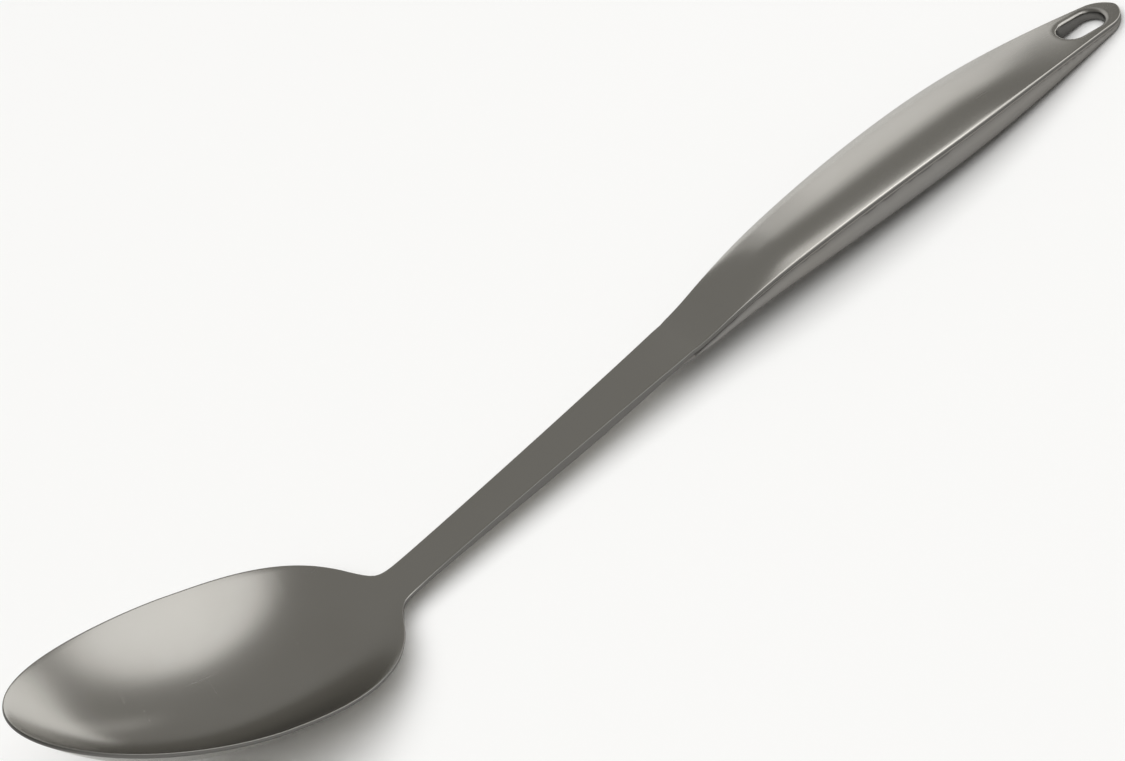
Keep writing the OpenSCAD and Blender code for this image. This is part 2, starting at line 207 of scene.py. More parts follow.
class SpoonForm:
    """Shape of the spoon: s runs along the sheet from its tip, y across, h off the edge line."""

    SHOULDER_CUT = 0.93  # where the shoulder turns straight
    CROWN_POWER = 2.2  # section of the handle's crown
    END_POWER = 4  # rounding of the back's end
    BLEND = 12 * MM  # each way from shank to handle
    NECK_START, NECK_END = 92 * MM, 118 * MM  # where the rim's wear gives way to painted shade on the shank's edge
    GRIP_RUN = 60 * MM  # until that painted shade has faded and the edge is bright again
    SLOT_LAP = math.radians(50)  # half the arc of an end
    STEP, TAIL_STEP = 0.01 * MM, 0.02 * MM
    FLOOR_GAP = 0.005 * MM
    LINE_STEPS = 800

    def __init__(self, sizes):
        z = self.z = sizes
        self.handle_s = z.bowl_length + z.shank_length
        self.tail_s = self.handle_s + z.handle_length
        self.thick_s = z.bowl_length + z.shank_thickest
        self.taper = z.handle_length - z.handle_widest - z.tail_reach
        self.slot_run = z.slot_length - z.slot_width
        self.slot_front = self.tail_s - z.slot_margin - z.slot_length - z.lip_radius
        self.eye_s = self.tail_s - z.slot_margin - z.slot_length / 2
        self.collar_r = z.slot_width / 2 + z.collar_wall
        self.runs = self.lay_runs()
        self.nose_depth = self.wall_top(self.handle_s) + z.back_gauge / 2
        self.tip_corner = halving(lambda s: self.half_slope(s) > 1, 0.5 * MM, z.bowl_widest)
        round_s = self.tail_s - z.tail_round
        self.tail_corner = halving(lambda s: self.half_slope(s) > -1, round_s, self.tail_s)
        self.tilt = self.middle = self.floor = 0.0
        self.lay_down()

    def lay_runs(self):
        """Runs of the edge line: start, length, slopes at both ends, place of the start."""
        z = self.z
        bends = [
            (-z.rim_tip_fall, z.rim_neck_rise, z.bowl_length - z.neck_bend / 2),
            (z.rim_neck_rise, z.shank_slope, z.neck_bend),
            (z.shank_slope, z.shank_slope, z.shank_length - z.neck_bend / 2),
            (z.shank_slope, z.lift_slope, z.lift_length),
            (z.lift_slope, z.ease_slope, z.ease_length),
            (z.ease_slope, z.tail_slope, z.handle_length - z.lift_length - z.ease_length),
        ]
        runs, s, x, up = [], 0.0, 0.0, 0.0
        for a, b, reach in bends:
            runs.append((s, reach, a, b, x, up))
            dx, dz = self.way(a, b, reach, reach)
            s, x, up = s + reach, x + dx, up + dz
        return runs

    @staticmethod
    def way(a, b, reach, s):
        """Way covered after s on a run that turns evenly from slope a to slope b."""
        if abs(b - a) < 1e-9:
            return s * math.cos(a), s * math.sin(a)
        r, c = reach / (b - a), a + (b - a) * s / reach
        return r * (math.sin(c) - math.sin(a)), r * (math.cos(a) - math.cos(c))

    def edge_line(self, s):
        """Place and slope of the edge line at s."""
        start, reach, a, b, x, up = next((r for r in reversed(self.runs) if s >= r[0]), self.runs[0])
        dx, dz = self.way(a, b, reach, s - start)
        return x + dx, up + dz, a + (b - a) * (s - start) / reach

    def at(self, s, y, h):
        """Point of the spoon as it lies on the floor."""
        x, up, slope = self.edge_line(s)
        x, up = x - h * math.sin(slope), up + h * math.cos(slope)
        turn, lift = math.cos(self.tilt), math.sin(self.tilt)
        return Vector((x * turn + up * lift - self.middle, y, up * turn - x * lift - self.floor))

    def lay_down(self):
        """Tilt at which the bowl's heel and the handle's back touch the floor together."""
        n = self.LINE_STEPS
        front_s = [self.handle_s * i / n for i in range(n + 1)]
        handle_s = [self.handle_s + self.z.handle_length * i / n for i in range(n + 1)]
        heel = [(s, self.under_h(s, 0)) for s in front_s]
        back = [(s, -self.back_depth(s)) for s in handle_s]

        def lowest(line, tilt):
            self.tilt = tilt
            return min(self.at(s, 0, h).z for s, h in line)

        tilt = halving(lambda t: lowest(heel, t) < lowest(back, t), 0.0, math.radians(45))
        floor = min(lowest(heel, tilt), lowest(back, tilt))
        edge = self.z.edge_radius
        ends = [self.at(s, 0, h).x for s in (0.0, self.tail_s) for h in (-edge, edge - self.sheet_t(s))]
        self.middle, self.floor = (min(ends) + max(ends)) / 2, floor - self.FLOOR_GAP

    def tip_half(self, s):
        z = self.z
        return z.bowl_width / 2 * math.sqrt(max(0.0, 1 - (1 - s / z.bowl_widest) ** z.tip_roundness))

    def tip_s(self, y):
        """Place along the spoon where the tip's outline has half width y."""
        z = self.z
        full = max(0.0, 1 - (2 * y / z.bowl_width) ** 2)
        return z.bowl_widest * (1 - full ** (1 / z.tip_roundness))

    def tail_s_at(self, y):
        """Place along the spoon where the rounded tail has half width y."""
        return halving(lambda s: self.half(s) > abs(y), self.tail_s - self.z.tail_round, self.tail_s)

    def heel_half(self, u):
        """Half width of the bowl's heel, u of the way from the widest place to the neck."""
        p = self.z.shoulder_fullness
        c = min(u, self.SHOULDER_CUT)
        root = math.sqrt(1 - c ** p)
        return self.z.bowl_width / 2 * (root - (u - c) * p * c ** (p - 1) / (2 * root))

    def shank_half(self, s):
        z = self.z
        u = max(0.0, (s - z.bowl_length) / z.shank_length)
        return (z.neck_width + (z.shank_end_width - z.neck_width) * u * u) / 2

    def grip_half(self, s):
        z = self.z
        a = s - self.handle_s
        b = a - z.handle_widest
        quarter = math.pi / 2
        if b < 0:
            return (z.shank_end_width + (z.handle_width - z.shank_end_width)
                    * math.sin(quarter * a / z.handle_widest)) / 2
        return (z.tail_width + (z.handle_width - z.tail_width) * math.cos(quarter * b / self.taper)) / 2

    def end_share(self, s):
        """Value that rises from 0 to 1 over the rounded tail."""
        return min(1.0, max(0.0, 1 - (self.tail_s - s) / self.z.tail_round))

    def shank_share(self, s):
        """Share of the painted shade on the rim: from 0 on the bowl and the grip to 1 on the plain shank
        between them.
        """
        rising = smooth((s - self.NECK_START) / (self.NECK_END - self.NECK_START))
        return rising * (1 - smooth((s - self.handle_s) / self.GRIP_RUN))

    def half(self, s):
        """Half width of the sheet."""
        z = self.z
        if s < z.bowl_widest:
            return self.tip_half(s)
        if s < self.handle_s:
            u = (s - z.bowl_widest) / (z.bowl_length - z.bowl_widest)
            fillet = z.neck_fillet * min(1.0, u)
            return soft_max(self.heel_half(u), self.shank_half(s), fillet) + self.blend(s)
        return self.grip_half(s) * math.sqrt(1 - self.end_share(s) ** 2) + self.blend(s)

    def blend(self, s):
        """Width that eases the corner where the shank runs into the handle."""
        z = self.z
        corner = (math.pi / 4 * (z.handle_width - z.shank_end_width) / z.handle_widest
                  - (z.shank_end_width - z.neck_width) / z.shank_length)
        return corner * max(0.0, self.BLEND - abs(s - self.handle_s)) ** 2 / (4 * self.BLEND)

    def half_slope(self, s):
        step = self.STEP
        return (self.half(s + step) - self.half(s - step)) / (2 * step)

    def bowl_sink(self, s):
        z = self.z
        if s < z.bowl_deepest:
            return z.bowl_depth * (1 - (1 - s / z.bowl_deepest) ** 2)
        u = (s - z.bowl_deepest) / (z.bowl_length - z.bowl_deepest)
        return soft_max(z.bowl_depth * (1 - u * u), 0.0, z.heel_fillet * min(1.0, u))

    def crown(self, s):
        """Height of the crown on the middle line."""
        z = self.z
        falling = smooth(1 - (self.tail_s - z.slot_margin - z.slot_length - s) / z.crown_fall)
        rising = smooth((s - self.handle_s) / z.crown_rise)
        return rising * (z.crown_height + (z.tail_crown - z.crown_height) * falling)

    def across(self, s, y):
        """Share of the half width at y."""
        return max(-1.0, min(1.0, y / max(self.half(s), 1e-6)))

    def top_h(self, s, v):
        """Height of the top at share v of the half width."""
        return (self.crown(s) * (1 - abs(v) ** self.CROWN_POWER)
                - self.bowl_sink(s) * math.cos(math.pi / 2 * v))

    def sheet_t(self, s):
        z = self.z
        if s < self.thick_s:
            thick = smooth((s - z.bowl_length) / z.shank_thickest)
            return z.bowl_gauge + (z.shank_gauge - z.bowl_gauge) * thick
        thin = (s - self.thick_s) / (self.handle_s + z.lift_length - self.thick_s)
        return z.shank_gauge + (z.grip_gauge - z.shank_gauge) * smooth(thin)

    def under_h(self, s, v):
        """Height of the underside at share v of the half width."""
        return self.top_h(s, v) - self.sheet_t(s)

    def wall_top(self, s):
        """Depth at which the channel's outer wall begins, under the seam."""
        return self.z.edge_radius + self.z.seam_gap - self.under_h(s, 1)

    def back_depth(self, s):
        """Depth of the back's outside on its middle line."""
        z = self.z
        u = (s - self.handle_s) / z.handle_length
        rim = self.wall_top(s)
        full = self.nose_depth + (z.tail_depth - self.nose_depth) * u + 4 * z.back_belly * u * (1 - u)
        return rim + (full - rim) * (1 - self.end_share(s) ** self.END_POWER) ** (1 / self.END_POWER)

    def u_rise(self, v):
        """Share of the channel's depth at share v of its half width."""
        p = self.z.back_squareness
        return max(0.0, 1 - abs(v) ** p) ** (1 / p)

    def back_h(self, s, v):
        """Height of the back's outside."""
        rim = self.wall_top(s)
        return -rim - (self.back_depth(s) - rim) * self.u_rise(v)

    def side_normal(self, s, side):
        """Direction in the flat sheet that points out of its side edge."""
        return Vector((-self.half_slope(s), side)).normalized()

    def end_edge(self, outline, y, end, step):
        """Point on the outline of an end and the direction out of it."""
        lean = (outline(y + step) - outline(y - step)) / (2 * step)
        return Vector((outline(y), y)), Vector((end, -end * lean)).normalized()

    def tip_edge(self, y):
        return self.end_edge(self.tip_s, y, -1, self.STEP)

    def tail_edge(self, y):
        return self.end_edge(self.tail_s_at, y, 1, self.TAIL_STEP)

    def slot_edge(self, side, f, radius):
        """Point on a line round the slot, f of the way along a side, and the direction outwards."""
        lap = self.SLOT_LAP
        if side in ("front", "tail"):
            end = -1 if side == "front" else 1
            turn = (2 * f - 1) * lap
            way = Vector((end * math.cos(turn), math.sin(turn)))
            return Vector((self.eye_s + end * self.slot_run / 2, 0)) + way * radius, way
        hand = -1 if side == "left" else 1
        bend = (math.pi / 2 - lap) * radius
        place = f * (2 * bend + self.slot_run)
        if place < bend or place > bend + self.slot_run:
            end = -1 if place < bend else 1
            turn = lap + (place if end < 0 else 2 * bend + self.slot_run - place) / radius
            way = Vector((end * math.cos(turn), hand * math.sin(turn)))
            return Vector((self.eye_s + end * self.slot_run / 2, 0)) + way * radius, way
        way = Vector((0, hand))
        return Vector((self.eye_s - self.slot_run / 2 + place - bend, 0)) + way * radius, way


class BlankPlan:
    """Flat plan of a blank on a grid of rows and columns, with rings round the hanging slot."""

    def __init__(self, form, stations, shares, tip_rows, slot_rows, rings, slot_radius, inset):
        self.form = form
        self.stations = stations
        self.shares = shares
        self.tip_rows = tip_rows
        self.slot_rows = slot_rows
        self.rings = rings
        self.slot_radius = slot_radius
        self.inset = inset
        self.columns = len(shares) - 1
        self.slot_start = tip_rows + len(stations) - 1
        self.rows = self.slot_start + slot_rows
        self.tail_y = form.half(form.tail_corner)

    def side_point(self, s, v):
        """Point at share v of the width that is left inside the rounded edge."""
        form = self.form
        trim = self.inset * math.sqrt(1 + form.half_slope(s) ** 2)
        return Vector((s, v * (form.half(s) - trim)))

    def in_slot(self, i, j):
        """Whether the middle of a grid cell lies in the slot."""
        r, k = i - self.slot_start, self.rings
        return k < r < self.slot_rows - k and k < j < self.columns - k

    def on_slot(self, i, j):
        """Whether a grid point lies on the slot's edge."""
        return i > self.slot_start and self.ring(i, j) == self.rings

    def ring(self, i, j):
        """Number of the ring round the slot, counted from outside."""
        r = i - self.slot_start
        return min(r, self.slot_rows - r, j, self.columns - j)

    def share_at(self, f):
        """Share of the width at f of the way across."""
        place = f * self.columns
        j = min(self.columns - 1, int(place))
        return self.shares[j] + (self.shares[j + 1] - self.shares[j]) * (place - j)

    def tip_point(self, k, v):
        """Point of the rounded tip, k of the way from the outline to the first straight row."""
        form, inset = self.form, self.inset
        tip_y = form.half(form.tip_corner)
        start = form.tip_corner + inset * math.sqrt(0.5)
        end = self.stations[0]

        def arc(share):
            point, out = form.tip_edge(share * tip_y)
            return point - out * inset

        def side(hand):
            return self.side_point(start + (end - start) * k, hand)

        a = (v + 1) / 2
        across = arc(v) * (1 - k) + self.side_point(end, v) * k
        along = side(-1) * (1 - a) + side(1) * a
        corners = ((arc(-1) * (1 - a) + arc(1) * a) * (1 - k)
                   + (self.side_point(end, -1) * (1 - a) + self.side_point(end, 1) * a) * k)
        return across + along - corners

    def slot_side(self, i, j):
        """Side of its ring that a point lies on, and how far along it."""
        r, k = i - self.slot_start, self.ring(i, j)
        if r == k or r == self.slot_rows - k:
            return ("front" if r == k else "tail"), (j - k) / (self.columns - 2 * k)
        return ("left" if j == k else "right"), (r - k) / (self.slot_rows - 2 * k)

    def ring_point(self, i, j):
        """Point of the part round the slot."""
        form, k = self.form, self.ring(i, j)
        side, f = self.slot_side(i, j)
        start, end = self.stations[-1], form.tail_corner - self.inset * math.sqrt(0.5)
        if side == "front":
            outer = self.side_point(start, self.share_at(f))
        elif side == "tail":
            point, out = form.tail_edge((2 * f - 1) * self.tail_y)
            outer = point - out * self.inset
        else:
            outer = self.side_point(start + (end - start) * f, -1 if side == "left" else 1)
        inner = form.slot_edge(side, f, self.slot_radius)[0]
        near = (1 + self.shares[k]) / (1 + self.shares[self.rings])
        return outer + (inner - outer) * near

    def point(self, i, j):
        """Place of a grid point in the flat blank."""
        if i < self.tip_rows:
            return self.tip_point(i / self.tip_rows, self.shares[j])
        if i <= self.slot_start:
            return self.side_point(self.stations[i - self.tip_rows], self.shares[j])
        return self.ring_point(i, j)

    def edge(self, i, j):
        """Kind of edge that a grid point lies on, and the direction out of it."""
        form = self.form
        if i == 0:
            if not self.tip_rows:
                return "nose", Vector((-1, 0))
            return "rim", form.tip_edge(self.shares[j] * form.half(form.tip_corner))[1]
        if i == self.rows:
            return "rim", form.tail_edge((2 * j / self.columns - 1) * self.tail_y)[1]
        if j in (0, self.columns):
            s = self.point(i, j).x
            return "rim", form.side_normal(s, -1 if j == 0 else 1)
        if self.on_slot(i, j):
            side, f = self.slot_side(i, j)
            return "slot", form.slot_edge(side, f, self.slot_radius)[1]
        return None, Vector((0, 0))


# Making of the pieces

def unit_grid(rows, columns):
    """Mesh of a grid over the unit square."""
    bm = bmesh.new()
    bmesh.ops.create_grid(bm, x_segments=rows, y_segments=columns, size=0.5)
    bmesh.ops.translate(bm, vec=(0.5, 0.5, 0), verts=bm.verts[:])
    return bm


def note_layers(bm):
    """Layers for the way along the sheet and for edge wear and painted edge shade."""
    layers = bm.verts.layers
    return layers.float_vector.new("sheet_way"), layers.float.new("edge_wear")


def cut_blank(plan, rim_cuts, slot_cuts):
    """Doubled blank on the plan's grid, with rows of points down its rim and slot."""
    bm = unit_grid(plan.rows, plan.columns)
    bmesh.ops.scale(bm, vec=(plan.rows, plan.columns, 1), verts=bm.verts[:])
    if plan.rings:
        waste = [f for f in bm.faces if plan.in_slot(*f.calc_center_median().xy)]
        bmesh.ops.delete(bm, geom=waste, context="FACES")
    copy = bmesh.ops.extrude_face_region(bm, geom=bm.faces[:])["geom"]
    lower = [v for v in copy if isinstance(v, bmesh.types.BMVert)]
    bmesh.ops.translate(bm, vec=(0, 0, -1), verts=lower)
    # The extrusion leaves an order that changes from run to run
    order = Vector((1000.0, 1.0, 0.01))
    bm.edges.sort(key=lambda e: order.dot(e.verts[0].co + e.verts[1].co))
    bm.faces.sort(key=lambda f: order.dot(f.calc_center_median()))
    posts = [e for e in bm.edges if abs(e.verts[0].co.z - e.verts[1].co.z) > 0.5]
    slot_posts = [e for e in posts if plan.rings and plan.on_slot(*(round(c) for c in e.verts[0].co.xy))]
    rim_posts = [e for e in posts if e not in set(slot_posts)]
    if rim_cuts:
        bmesh.ops.subdivide_edges(bm, edges=rim_posts, cuts=rim_cuts)
    if slot_cuts:
        bmesh.ops.subdivide_edges(bm, edges=slot_posts, cuts=slot_cuts)
    return bm


def press_blank(bm, plan, press, rim_cuts, slot_cuts):
    """Presses every point of a doubled blank into shape and fills its layers."""
    form = plan.form
    way, wear = note_layers(bm)
    flat = {}
    for v in bm.verts:
        i, j = round(v.co.x), round(v.co.y)
        if (i, j) not in flat:
            flat[i, j] = (plan.point(i, j), *plan.edge(i, j))
        point, kind, out = flat[i, j]
        cuts = slot_cuts if kind == "slot" else rim_cuts
        row = round(-v.co.z * (cuts + 1))
        (s, y), h, worn = press(point, out, kind, row, cuts + 1)
        v[way] = (s, y, 0)
        v[wear] = worn
        v.co = form.at(s, y, h)


def tube(rows, columns, place, closed_ends):
    """Tube folded from a grid: place gives the point at a row and a column."""
    bm = unit_grid(rows, columns)
    way, wear = note_layers(bm)
    for v in bm.verts:
        i, j = round(v.co.x * rows), round(v.co.y * columns)
        v.co, v[way], v[wear] = place(i, j % columns)
    bmesh.ops.remove_doubles(bm, verts=bm.verts[:], dist=1e-7)
    if closed_ends:
        bmesh.ops.holes_fill(bm, edges=[e for e in bm.edges if e.is_boundary], sides=0)
    return bm


def put(bm, name, material):
    """Object in the scene, made from a mesh."""
    mesh = bpy.data.meshes.new(name)
    bm.to_mesh(mesh)
    bm.free()
    mesh.materials.append(material)
    thing = bpy.data.objects.new(name, mesh)
    bpy.context.scene.collection.objects.link(thing)
    return thing


def finish_piece(bm, name, node, slot):
    """Turns a mesh into the piece that stands for a CAD node; its slot names its steel."""
    bmesh.ops.recalc_face_normals(bm, faces=bm.faces[:])
    for face in bm.faces:
        face.smooth = True
    old = bpy.data.objects.get(name)
    if old:
        bpy.data.objects.remove(old)
    piece = put(bm, name, steel(slot, bpy.context.scene.spoon_finish))
    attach(piece, "root")
    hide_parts(node)


def spread(a, b, n):
    """Values spread evenly from a to b in n steps."""
    return [a + (b - a) * i / n for i in range(n + 1)]


def stages(start, *parts):
    """Values from a start through stops, each with the number of steps to it."""
    values = [start]
    for stop, n in parts:
        values += spread(start, stop, n)[1:]
        start = stop
    return values


# Materials

def arithmetic(operation, swapped=False):
    """Method that adds a Math node for an operator."""
    def method(self, other):
        values = (other, self) if swapped else (self, other)
        return self.board.node("ShaderNodeMath", {"operation": operation}, *values)
    return method


class Tone:
    """Value in a material: arithmetic on it adds Math nodes."""

    def __init__(self, board, socket):
        self.board = board
        self.socket = socket

    __add__, __radd__ = arithmetic("ADD"), arithmetic("ADD", True)
    __sub__, __rsub__ = arithmetic("SUBTRACT"), arithmetic("SUBTRACT", True)
    __mul__, __rmul__ = arithmetic("MULTIPLY"), arithmetic("MULTIPLY", True)


class Board:
    """Node tree of one material."""

    def __init__(self, name):
        self.material = bpy.data.materials.get(name) or bpy.data.materials.new(name)
        self.material.use_nodes = True
        self.tree = self.material.node_tree
        self.tree.nodes.clear()

    def feed(self, socket, value):
        if isinstance(value, Tone):
            self.tree.links.new(value.socket, socket)
        else:
            socket.default_value = value

    def node(self, kind, settings, *values, out=0, **named):
        """Adds a node: its settings first, then its sockets by order (None skips one) or by name."""
        node = self.tree.nodes.new(kind)
        for key, value in settings.items():
            setattr(node, key, value)
        for socket, value in zip(node.inputs, values):
            if value is not None:
                self.feed(socket, value)
        for key, value in named.items():
            self.feed(node.inputs[key.replace("_", " ")], value)
        return Tone(self, node.outputs[out]) if node.outputs else None

    def shade(self, **named):
        """Adds the shader and the material's output."""
        shader = self.node("ShaderNodeBsdfPrincipled", {}, out="BSDF", **named)
        self.node("ShaderNodeOutputMaterial", {}, Surface=shader)

    def object_place(self):
        return self.node("ShaderNodeTexCoord", {}, out="Object")

    def note(self, name, out):
        return self.node("ShaderNodeAttribute", {"attribute_name": name}, out=out)

    def stretch(self, vector, scale, turn=0.0):
        return self.node("ShaderNodeMapping", {}, Vector=vector, Scale=scale, Rotation=(0, 0, turn))

    def noise(self, vector, scale, detail=2.0, roughness=0.5):
        return self.node(
            "ShaderNodeTexNoise", {}, Vector=vector, Scale=scale, Detail=detail, Roughness=roughness
        )

    def step(self, value, low, high):
        """Value turned into a mask that rises from 0 at low to 1 at high."""
        return self.node(
            "ShaderNodeMapRange", {"interpolation_type": "SMOOTHSTEP"}, value,
            From_Min=low, From_Max=high, To_Min=0.0, To_Max=1.0
        )

    def mix(self, factor, a, b):
        """Colour from a to b; the sockets for colours come after five others."""
        others = (None,) * 5
        return self.node("ShaderNodeMix", {"data_type": "RGBA"}, factor, *others, a, b, out=2)


def rgba(tint, gain=1.0):
    """Colour for a socket, times a gain."""
    return (*(c * gain for c in tint), 1.0)


# How much each feature shows in the steel
ROUGH_GRAIN, ROUGH_HAZE, ROUGH_SCRATCH, ROUGH_WORN, ROUGH_CUT = 0.05, 0.08, 0.08, 0.05, 0.12
TARNISH_AMOUNT = 0.16
WORN_AMOUNT = 0.6
# Painted shade: share of the tint left where the edge mark is fully negative
CUT_SHADE_GAIN = 0.24
GRAZING_TINT = (0.7, 0.7, 0.7, 1.0)
HAZE_DEPTH, SCRATCH_DEPTH = 0.3, 0.5
BUMP_STRENGTH, BUMP_DISTANCE = 0.05, 0.02 * MM

# Scratches: stretch of the noise, turn, and the values between which a line appears
SCRATCHES_ALONG = ((38, 2300, 1), 0.09, 0.70, 0.78)
SCRATCHES_ACROSS = ((1500, 52, 1), 0.5, 0.73, 0.80)

# Steels: kind in the finish, stretch and depth of the grain, scratches, gain on worn edges
STEELS = {
    "polished_sheet": ("sheet", (60, 2600, 1), 0.35, 0.5, 1.18),
    # Its dark tint from back_colour is painted shade; its roughness is the real satin
    "satin_back": ("back", (45, 1900, 1), 0.8, 0.7, 1.1),
    "ground_weld": ("weld", (900, 1400, 1), 1.0, 0.5, 1.05),
}


def steel(name, finish):
    """Steel with grain, haze, fine scratches, bright worn edges, and cut faces and dimmed edges that are
    rougher and darkened with painted shade.
    """
    kind, grain_scale, grain_depth, scratch_amount, edge_gain = STEELS[name]
    tint, polish = getattr(finish, kind + "_colour"), getattr(finish, kind + "_polish")
    board = Board(name)
    way = board.note("sheet_way", "Vector")
    edge = board.note("edge_wear", "Fac")
    # Positive edge marks are bright wear; negative ones are rougher and carry painted shade
    worn, cut = board.step(edge, 0.0, 1.0), board.step(edge * -1.0, 0.0, 1.0)
    place = board.object_place()
    grain = board.noise(board.stretch(way, grain_scale), 1.0, 3.0, 0.6)
    haze = board.noise(place, 26.0, 3.0, 0.55)
    patch = board.noise(place, 9.0, 1.0)

    def lines(scale, turn, low, high):
        return board.step(board.noise(board.stretch(way, scale, turn), 1.0, 1.0), low, high)

    scratches = lines(*SCRATCHES_ALONG) + lines(*SCRATCHES_ACROSS)
    scratches = scratches * board.step(patch, 0.35, 0.7) * scratch_amount
    rough = polish + (grain - 0.5) * ROUGH_GRAIN + (haze - 0.5) * ROUGH_HAZE + scratches * ROUGH_SCRATCH
    rough = rough - worn * ROUGH_WORN + cut * ROUGH_CUT
    dull = board.step(haze * 0.6 + patch * 0.4, 0.42, 0.75) * TARNISH_AMOUNT
    tint_now = board.mix(dull, rgba(tint), rgba(finish.tarnish))
    tint_now = board.mix(worn * WORN_AMOUNT, tint_now, rgba(tint, edge_gain))
    # Painted shade darkens the cut faces and the dimmed edges
    tint_now = board.mix(cut, tint_now, rgba(tint, CUT_SHADE_GAIN))
    height = grain * grain_depth + haze * HAZE_DEPTH - scratches * SCRATCH_DEPTH
    normal = board.node(
        "ShaderNodeBump", {}, Strength=BUMP_STRENGTH, Distance=BUMP_DISTANCE, Height=height
    )
    board.shade(
        Base_Color=tint_now, Metallic=1.0, Roughness=rough, Normal=normal, Specular_Tint=GRAZING_TINT
    )
    return board.material


# Operators

COLUMNS = 48  # of the grid of both blanks
SLOT_ROWS, SLOT_RINGS = 40, 12  # of that grid round the hanging slot
SLOT_LEAD = 8 * MM  # from the last plain row to the slot's lip
EDGE_EASE = 0.02 * MM  # of the edges inside the outline
CUT_DULL_AND_SHADE = -1.0  # of a cut face that was never polished, so rougher, and darkened with painted shade


class SPOON_OT_blade(bpy.types.Operator):
    """Press the sheet that makes the bowl, the shank and the handle's top"""

    bl_idname = "spoon.blade"
    bl_label = "Spoon blade"

    TIP_ROWS = 24
    TIP_END, HEEL_START = 30 * MM, 84 * MM
    LIFT_END = 36 * MM  # behind the start of the handle
    TURN_ROWS = 4  # in each rounding of the rim
    LIP_ROWS = 6  # in the slot's rolled lip
    BRIGHT_ROWS = 5  # of the lip that are polished bright
    # The lip is worn bright at the front and falls to painted shade at the tail
    LIP_WEAR, LIP_FADE = 1.0, 1.5
    RIM_WEAR_AND_SHADE = (0.2, 0.7, 0.2, -0.6)  # row by row from the top: wear on the rounding, painted shade on its last row
    # Painted shade that dims the shank's edge highlight, row by row from the top
    SHANK_RIM_SHADE = (0.0, -0.4, -0.6, -1.0)

    def execute(self, context):
        form = SpoonForm(context.scene.spoon_sizes)
        z = form.z
        edge = z.edge_radius
        lift_end = form.handle_s + self.LIFT_END
        stations = stages(
            self.TIP_END, (self.HEEL_START, 27), (form.NECK_END, 34), (form.handle_s, 26),
            (lift_end, 24), (form.slot_front - SLOT_LEAD, 36)
        )
        plan = BlankPlan(
            form, stations, spread(-1.0, 1.0, COLUMNS), self.TIP_ROWS, SLOT_ROWS, SLOT_RINGS,
            slot_radius=z.slot_width / 2 + z.lip_radius, inset=edge
        )
        turn, lip = self.TURN_ROWS, self.LIP_ROWS
        rim_cuts, slot_cuts = 2 * turn, lip + 5

        def press(point, out, kind, row, last):
            s, y = point
            v = form.across(s, y)
            top, under = form.top_h(s, v), form.under_h(s, v)
            gauge = form.sheet_t(s)
            off, h, worn = 0, (top if row == 0 else under), 0.0
            if kind == "rim":
                reach = edge - EDGE_EASE
                if row <= turn:
                    off, h = rounded((0, top), (reach, 0), (reach, -edge), row / turn)
                else:
                    up = (last - row) / turn
                    off, h = rounded((0, under), (reach, -gauge), (reach, edge - gauge), up)
                worn = CUT_DULL_AND_SHADE
                # On the shank the rim's wear gives way to painted shade that dims the edge highlight
                if row < turn:
                    bright, dull = self.RIM_WEAR_AND_SHADE[row], self.SHANK_RIM_SHADE[row]
                    worn = bright + (dull - bright) * form.shank_share(s)
            elif kind == "slot":
                foot = form.back_h(s, v)
                bore, collar, chamfer = -z.lip_radius, form.collar_r - plan.slot_radius, z.foot_chamfer
                corner, lip_end = (bore, top), (bore, top - z.lip_radius)
                profile = [rounded((0, top), corner, lip_end, k / lip) for k in range(lip + 1)] + [
                    (bore, foot + chamfer),
                    (bore + chamfer * 0.6, foot + 0.25 * chamfer),
                    (bore + chamfer, foot),
                    (collar, foot),
                    (collar, under - edge),
                    (0, under),
                ]
                off, h = profile[row]
                worn = CUT_DULL_AND_SHADE
                # Bright wear at the lip's front, painted shade at its tail
                if row < self.BRIGHT_ROWS:
                    worn = self.LIP_WEAR - self.LIP_FADE * smooth((s - form.slot_front) / z.slot_length)
            return point + out * off, h, worn

        bm = cut_blank(plan, rim_cuts, slot_cuts)
        press_blank(bm, plan, press, rim_cuts, slot_cuts)
        finish_piece(bm, "pressed_sheet", "spoon_blade", "polished_sheet")
        return {"FINISHED"}


